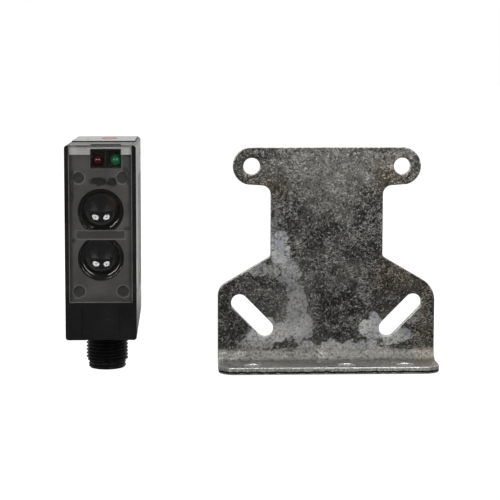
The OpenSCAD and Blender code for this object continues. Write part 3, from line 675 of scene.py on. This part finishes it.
def solid_box(bm, low, high, radius):
    """A box with rounded edges, from its lowest to its highest corner."""
    low, high = Vector(low), Vector(high)
    made = bmesh.ops.create_cube(bm, size=1.0)["verts"]
    for vert in made:
        vert.co = (low + high) / 2 + Vector([c * d for c, d in zip(vert.co, high - low)])
    edges = list({edge for vert in made for edge in vert.link_edges})
    bmesh.ops.bevel(bm, geom=edges, offset=radius, segments=2, profile=0.5, affect="EDGES",
                    clamp_overlap=True)


def build_window(bm):
    """The window: an angled plate with a groove over the indicators, four pegs and a rib behind."""
    lo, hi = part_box("front_window")
    shroud_lo, shroud_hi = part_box("indicator_shroud")
    plate_t, cap_t = WINDOW_T * MM, CAP_T * MM
    side, cap_back = hi.x, lo.y + CAP_DEPTH * MM
    groove_depth, peg_len, peg_chamfer, peg_steps = 0.3 * MM, 0.7 * MM, 0.1, 48
    rib_x, rib_z, rib_depth = 6.4 * MM, 1.1, 0.45 * MM
    profile = [(lo.y, lo.z), (lo.y, hi.z), (cap_back, hi.z), (cap_back, hi.z - cap_t),
               (lo.y + plate_t, hi.z - cap_t), (lo.y + plate_t, lo.z)]
    ends = [[bm.verts.new((x, y, z)) for y, z in profile] for x in (-side, side)]
    bm.faces.new(ends[0])
    bm.faces.new(reversed(ends[1]))
    for n in range(len(profile)):
        m = (n + 1) % len(profile)
        bm.faces.new((ends[0][m], ends[0][n], ends[1][n], ends[1][m]))
    groove = ((lo.y + 0.8 * MM, (0, 1, 0)), (lo.y + 6.5 * MM, (0, 1, 0)),
              (shroud_lo.x, (1, 0, 0)), (shroud_hi.x, (1, 0, 0)))
    for at, normal in groove:
        bmesh.ops.bisect_plane(bm, geom=bm.verts[:] + bm.edges[:] + bm.faces[:],
                               plane_co=Vector(normal) * at, plane_no=normal)
    middle = [face for face in bm.faces
              if min(v.co.z for v in face.verts) > hi.z - 0.01 * MM
              and shroud_lo.x < face.calc_center_median().x < shroud_hi.x
              and groove[0][0] < face.calc_center_median().y < groove[1][0]]
    sunk = bmesh.ops.extrude_face_region(bm, geom=middle)["geom"]
    bmesh.ops.delete(bm, geom=middle, context="FACES_ONLY")
    for vert in (v for v in sunk if isinstance(v, bmesh.types.BMVert)):
        vert.co.z -= groove_depth
    bm.normal_update()
    # The flat top takes window_cap, a paler copy of the window: painted light from above
    for face in bm.faces:
        flat_top = min(v.co.z for v in face.verts) > hi.z - 0.01 * MM
        face.material_index = 1 if flat_top else 0
    for x in (-PEG_X, PEG_X):
        for z in PEG_Z:
            rings = []
            for radius, y in ((PEG_R, plate_t), (PEG_R, plate_t + peg_len),
                              (PEG_R - peg_chamfer, plate_t + 0.8 * MM)):
                turns = [2 * math.pi * n / peg_steps for n in range(peg_steps)]
                rings.append([bm.verts.new((x * MM + radius * MM * math.cos(turn), lo.y + y,
                                            z * MM + radius * MM * math.sin(turn)))
                              for turn in turns])
            for one, two in zip(rings, rings[1:]):
                for n in range(peg_steps):
                    m = (n + 1) % peg_steps
                    bm.faces.new((one[n], one[m], two[m], two[n]))
            bm.faces.new(rings[0])
            bm.faces.new(rings[-1])
    solid_box(bm, (-rib_x, lo.y + plate_t, (BAR_Z - rib_z) * MM),
              (rib_x, lo.y + plate_t + rib_depth, (BAR_Z + rib_z) * MM), 0.08 * MM)


window = mesh_piece("front_window_moulded", build_window, "smoked_window", "sensor",
                    more_looks=("window_cap",))
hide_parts("front_window")


def build_label(bm):
    """The top label's stiff plate, standing a little proud, with rounded corners and a dark cut edge."""
    corner, rise, roll = 0.8 * MM, 0.3 * MM, 0.06 * MM
    half_x, half_y = (label_hi.x - label_lo.x) / 2, (label_hi.y - label_lo.y) / 2
    mid_x, mid_y = (label_lo.x + label_hi.x) / 2, (label_lo.y + label_hi.y) / 2
    rings = []
    for inset, z in ((0.0, label_lo.z), (0.0, label_hi.z + rise - roll), (roll, label_hi.z + rise)):
        ring = []
        for quarter, (sx, sy) in enumerate(((1, 1), (-1, 1), (-1, -1), (1, -1))):
            for n in range(9):
                angle = math.pi / 2 * (quarter + n / 8)
                ring.append(bm.verts.new((
                    mid_x + sx * (half_x - corner) + (corner - inset) * math.cos(angle),
                    mid_y + sy * (half_y - corner) + (corner - inset) * math.sin(angle), z)))
        rings.append(ring)
    for one, two in zip(rings, rings[1:]):
        for n in range(len(one)):
            m = (n + 1) % len(one)
            bm.faces.new((one[n], one[m], two[m], two[n])).material_index = 1
    bm.faces.new(rings[0]).material_index = 1
    bm.faces.new(rings[-1])


label = mesh_piece("top_label_plate", build_label, "label_grey", "sensor",
                   more_looks=("barrel_black",))
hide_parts("top_label")


# The bracket: a flat blank with rolled edges, cut into fine strips, then bent

SHEET, BEND_IN = 2.0, 2.8
HOLE_X, HOLE_R, EAR_UP, BEND_STEPS = 21.5, 2.35, 57.6, 12


def arc(centre, r, start, end, steps=10):
    angles = [math.radians(start + (end - start) * n / steps) for n in range(steps + 1)]
    return [(centre[0] + r * math.cos(a), centre[1] + r * math.sin(a)) for a in angles]


def blank_side(corner_r, base):
    """Right half of the blank's outline in millimetres, from the top down to the foot's corner."""
    side, neck, slope, fillet = 31.2, 16.1, 31.0, 2.6
    ear_z = base + EAR_UP
    under = ear_z - 5.5
    shoulder = base + 31.9
    corner_z = shoulder - (side - neck) * math.tan(math.radians(slope))
    back = corner_r * math.tan(math.radians((90 - slope) / 2))
    foot = FOOT_END + 4.4
    return (arc((HOLE_X, ear_z), 5.4, 90, -75, 20)
            + arc((neck + fillet, under - fillet), fillet, 100, 180, 8)
            + arc((neck + 1.2, shoulder + 0.55), 1.2, 180, 239, 4)
            + arc((side - corner_r, corner_z - back), corner_r, 90 - slope, 0)
            + arc((side - 4.4, foot), 4.4, 0, -90, 12))


BEND_ARC = math.pi / 2 * (BEND_IN + SHEET / 2)
BASE = -(SHEET + BEND_IN)
FOOT_END = -(BEND_ARC + PLATE_FRONT - BEND_IN - bracket_lo.y / MM)


def build_bracket(bm):
    curve = bpy.data.curves.new("blank", "CURVE")
    curve.dimensions = "2D"
    curve.fill_mode = "BOTH"
    roll = 0.28
    curve.extrude = (SHEET / 2 - roll) * MM
    curve.bevel_depth = roll * MM
    curve.bevel_resolution = 3
    curve.offset = -roll * MM
    left = [(-x, v) for x, v in reversed(blank_side(4.2, BASE))]
    high, low, half = (24.95, BASE + 18.45), (17.6, BASE + 10.95), 2.38
    lean = math.degrees(math.atan2(high[1] - low[1], high[0] - low[0]))
    slot = arc(high, half, lean - 90, lean + 90, 16) + arc(low, half, lean + 90, lean + 270, 16)
    hole_v = FOOT_END + 3.6
    loops = [blank_side(6.8, BASE) + left, slot, [(-x, v) for x, v in slot]]
    ears = [(x, BASE + EAR_UP) for x in (-HOLE_X, HOLE_X)]
    for centre in ears + [(x, hole_v) for x in FOOT_HOLES_X]:
        loops.append(arc(centre, HOLE_R, 0, 351, 39))
    for loop in loops:
        spline = curve.splines.new("POLY")
        spline.points.add(len(loop) - 1)
        for point, (x, v) in zip(spline.points, loop):
            point.co = (x * MM, v * MM, 0, 1)
        spline.use_cyclic_u = True
    carrier = bpy.data.objects.new("blank", curve)
    flat = bpy.data.meshes.new_from_object(carrier)
    bm.from_mesh(flat)
    bpy.data.objects.remove(carrier)
    bpy.data.curves.remove(curve)
    bpy.data.meshes.remove(flat)
    bmesh.ops.remove_doubles(bm, verts=bm.verts, dist=0.001 * MM)
    cuts = [-BEND_ARC * n / BEND_STEPS * MM for n in range(BEND_STEPS + 1)]
    cuts += [v * MM for v in range(4, 60, 4)] + [(v - BEND_ARC) * MM for v in (-3, -6)]
    for v in cuts:
        bmesh.ops.bisect_plane(bm, geom=bm.verts[:] + bm.edges[:] + bm.faces[:],
                               plane_co=(0, v, 0), plane_no=(0, 1, 0))
    for x in range(-28, 29, 4):
        bmesh.ops.bisect_plane(bm, geom=bm.verts[:] + bm.edges[:] + bm.faces[:],
                               plane_co=(x * MM, 0, 0), plane_no=(1, 0, 0))
    bm.normal_update()
    for face in bm.faces:
        face.material_index = 1 if abs(face.normal.z) < 0.93 else 0
    centre_y, centre_z = (PLATE_FRONT - BEND_IN) * MM, (bracket_lo.z / MM - BASE) * MM
    neutral = (BEND_IN + SHEET / 2) * MM
    for vert in bm.verts:
        x, v, w = vert.co
        w = SHEET / 2 * MM - w
        depth = BEND_IN * MM + w
        if v >= 0:
            place = (centre_y + depth, centre_z + v)
        elif v > -BEND_ARC * MM:
            turn = -v / neutral
            place = (centre_y + depth * math.cos(turn), centre_z - depth * math.sin(turn))
        else:
            place = (centre_y + v + BEND_ARC * MM, centre_z - depth)
        vert.co = Vector((x + bracket_mid * MM, *place))


bracket = mesh_piece("bracket_bent_sheet", build_bracket, "zinc_steel", "bracket",
                     more_looks=("zinc_edge",))
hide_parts("mounting_bracket")
weighted = bracket.modifiers.new("normals", "WEIGHTED_NORMAL")
weighted.keep_sharp = True


# ---------------------------------------------------------------- floor, light and camera

def area_light(name, place, target, size, radiance, dish=False):
    """A round softbox. A dish is dark in the middle, where the lamp's cap stands."""
    data = bpy.data.lights.new(name, "AREA")
    data.shape = "DISK"
    data.size = size
    data.energy = radiance * math.pi * math.pi * size * size / 4
    if dish:
        data.use_nodes = True
        tree = data.node_tree
        place_on = tree.nodes.new("ShaderNodeNewGeometry")
        off = tree.nodes.new("ShaderNodeVectorMath")
        off.operation = "DISTANCE"
        off.inputs[1].default_value = (0.5, 0.5, 0.0)
        cap = tree.nodes.new("ShaderNodeMapRange")
        cap.interpolation_type = "SMOOTHSTEP"
        cap.inputs["From Min"].default_value = 0.06
        cap.inputs["From Max"].default_value = 0.16
        tree.links.new(place_on.outputs["Parametric"], off.inputs[0])
        tree.links.new(off.outputs["Value"], cap.inputs["Value"])
        tree.links.new(cap.outputs["Result"], tree.nodes["Emission"].inputs["Strength"])
    obj = bpy.data.objects.new(name, data)
    obj.location = place
    obj.rotation_euler = (Vector(target) - Vector(place)).to_track_quat("-Z", "Y").to_euler()
    scene.collection.objects.link(obj)
    return obj


floor_front = -0.25
floor_reach = 4.0
floor_bm = bmesh.new()
bmesh.ops.create_grid(floor_bm, x_segments=8, y_segments=8, size=floor_reach)
floor_data = bpy.data.meshes.new("floor")
floor_bm.to_mesh(floor_data)
floor_bm.free()
floor = bpy.data.objects.new("floor", floor_data)
floor.location = (0, floor_front + floor_reach, min(plug_lo.z, bracket_lo.z) - 0.05 * MM)
scene.collection.objects.link(floor)
floor_look = plain("pale_floor", (0.2, 0.2, 0.2), 0.6, grain=3.0, vary=0.01)
floor_look.set("Emission Color", (1.0, 1.0, 1.0, 1.0))
behind = floor_look.map(floor_look.axis(floor_look.place, 1), 0.03 - floor.location.y,
                        0.2 - floor.location.y, 0.005, 0.5)
camera_ray = floor_look.node("ShaderNodeLightPath").outputs["Is Camera Ray"]
seen_floor = floor_look.maths("MULTIPLY", camera_ray, 0.97)
floor_look.set("Emission Strength", floor_look.maths("MAXIMUM", behind, seen_floor))
# Dark in front of the object, so that the lenses don't mirror a pale floor
card = floor_look.map(floor_look.axis(floor_look.place, 1), -0.06 - floor.location.y, 0.02 - floor.location.y)
floor_look.set("Base Color", floor_look.mix(card, (0.015, 0.015, 0.015), (0.25, 0.25, 0.25)))
floor.data.materials.append(floor_look.material)

focus = Vector((0, front_lo.y, (front_lo.z + front_hi.z) / 2))
for side in (-1, 1):
    away = Vector((side * 0.53, -1.0, 0.40)) * 0.42
    area_light(f"softbox_{side}", focus + away, focus, 0.27, 4.0, dish=True)
area_light("top_softbox", (0.04, 0.0, 0.6), (0.04, 0, 0), 0.5, 2.0)

# Pale studio behind the object, dark behind the camera; the camera itself sees plain white
world = bpy.data.worlds.new("studio")
scene.world = world
world.use_nodes = True
tree = world.node_tree
background = tree.nodes["Background"]
coords = tree.nodes.new("ShaderNodeTexCoord")
split = tree.nodes.new("ShaderNodeSeparateXYZ")
ramp = tree.nodes.new("ShaderNodeMapRange")
ramp.interpolation_type = "SMOOTHSTEP"
tree.links.new(coords.outputs["Generated"], split.inputs[0])
tree.links.new(split.outputs[1], ramp.inputs["Value"])
ramp.inputs["From Min"].default_value = -0.7
ramp.inputs["From Max"].default_value = 0.15
ramp.inputs["To Min"].default_value = 0.04
ramp.inputs["To Max"].default_value = 0.55
path = tree.nodes.new("ShaderNodeLightPath")
seen = tree.nodes.new("ShaderNodeMath")
seen.operation = "MAXIMUM"
tree.links.new(path.outputs["Is Camera Ray"], seen.inputs[0])
tree.links.new(ramp.outputs["Result"], seen.inputs[1])
tree.links.new(seen.outputs[0], background.inputs["Strength"])
background.inputs["Color"].default_value = (1, 1, 1, 1)
scene.view_settings.view_transform = "Standard"

# The camera stands in front, a little right of the sensor and a little above its top
camera_data = bpy.data.cameras.new("camera")
camera = bpy.data.objects.new("camera", camera_data)
scene.collection.objects.link(camera)
scene.camera = camera
camera_data.lens = 104.3
camera_data.shift_x, camera_data.shift_y = 0.05, -0.1
camera_right, camera_away, camera_above = 20.1 * MM, 379.4 * MM, 19.1 * MM
camera.location = (camera_right, front_lo.y - camera_away, front_hi.z + camera_above)
yaw, pitch = math.radians(1.91), math.radians(-5.05)
forward = Vector((math.sin(yaw) * math.cos(pitch), math.cos(yaw) * math.cos(pitch), math.sin(pitch)))
camera.rotation_euler = forward.to_track_quat("-Z", "Y").to_euler()
camera_data.clip_start = 0.01
camera_data.clip_end = 20

bpy.context.view_layer.update()
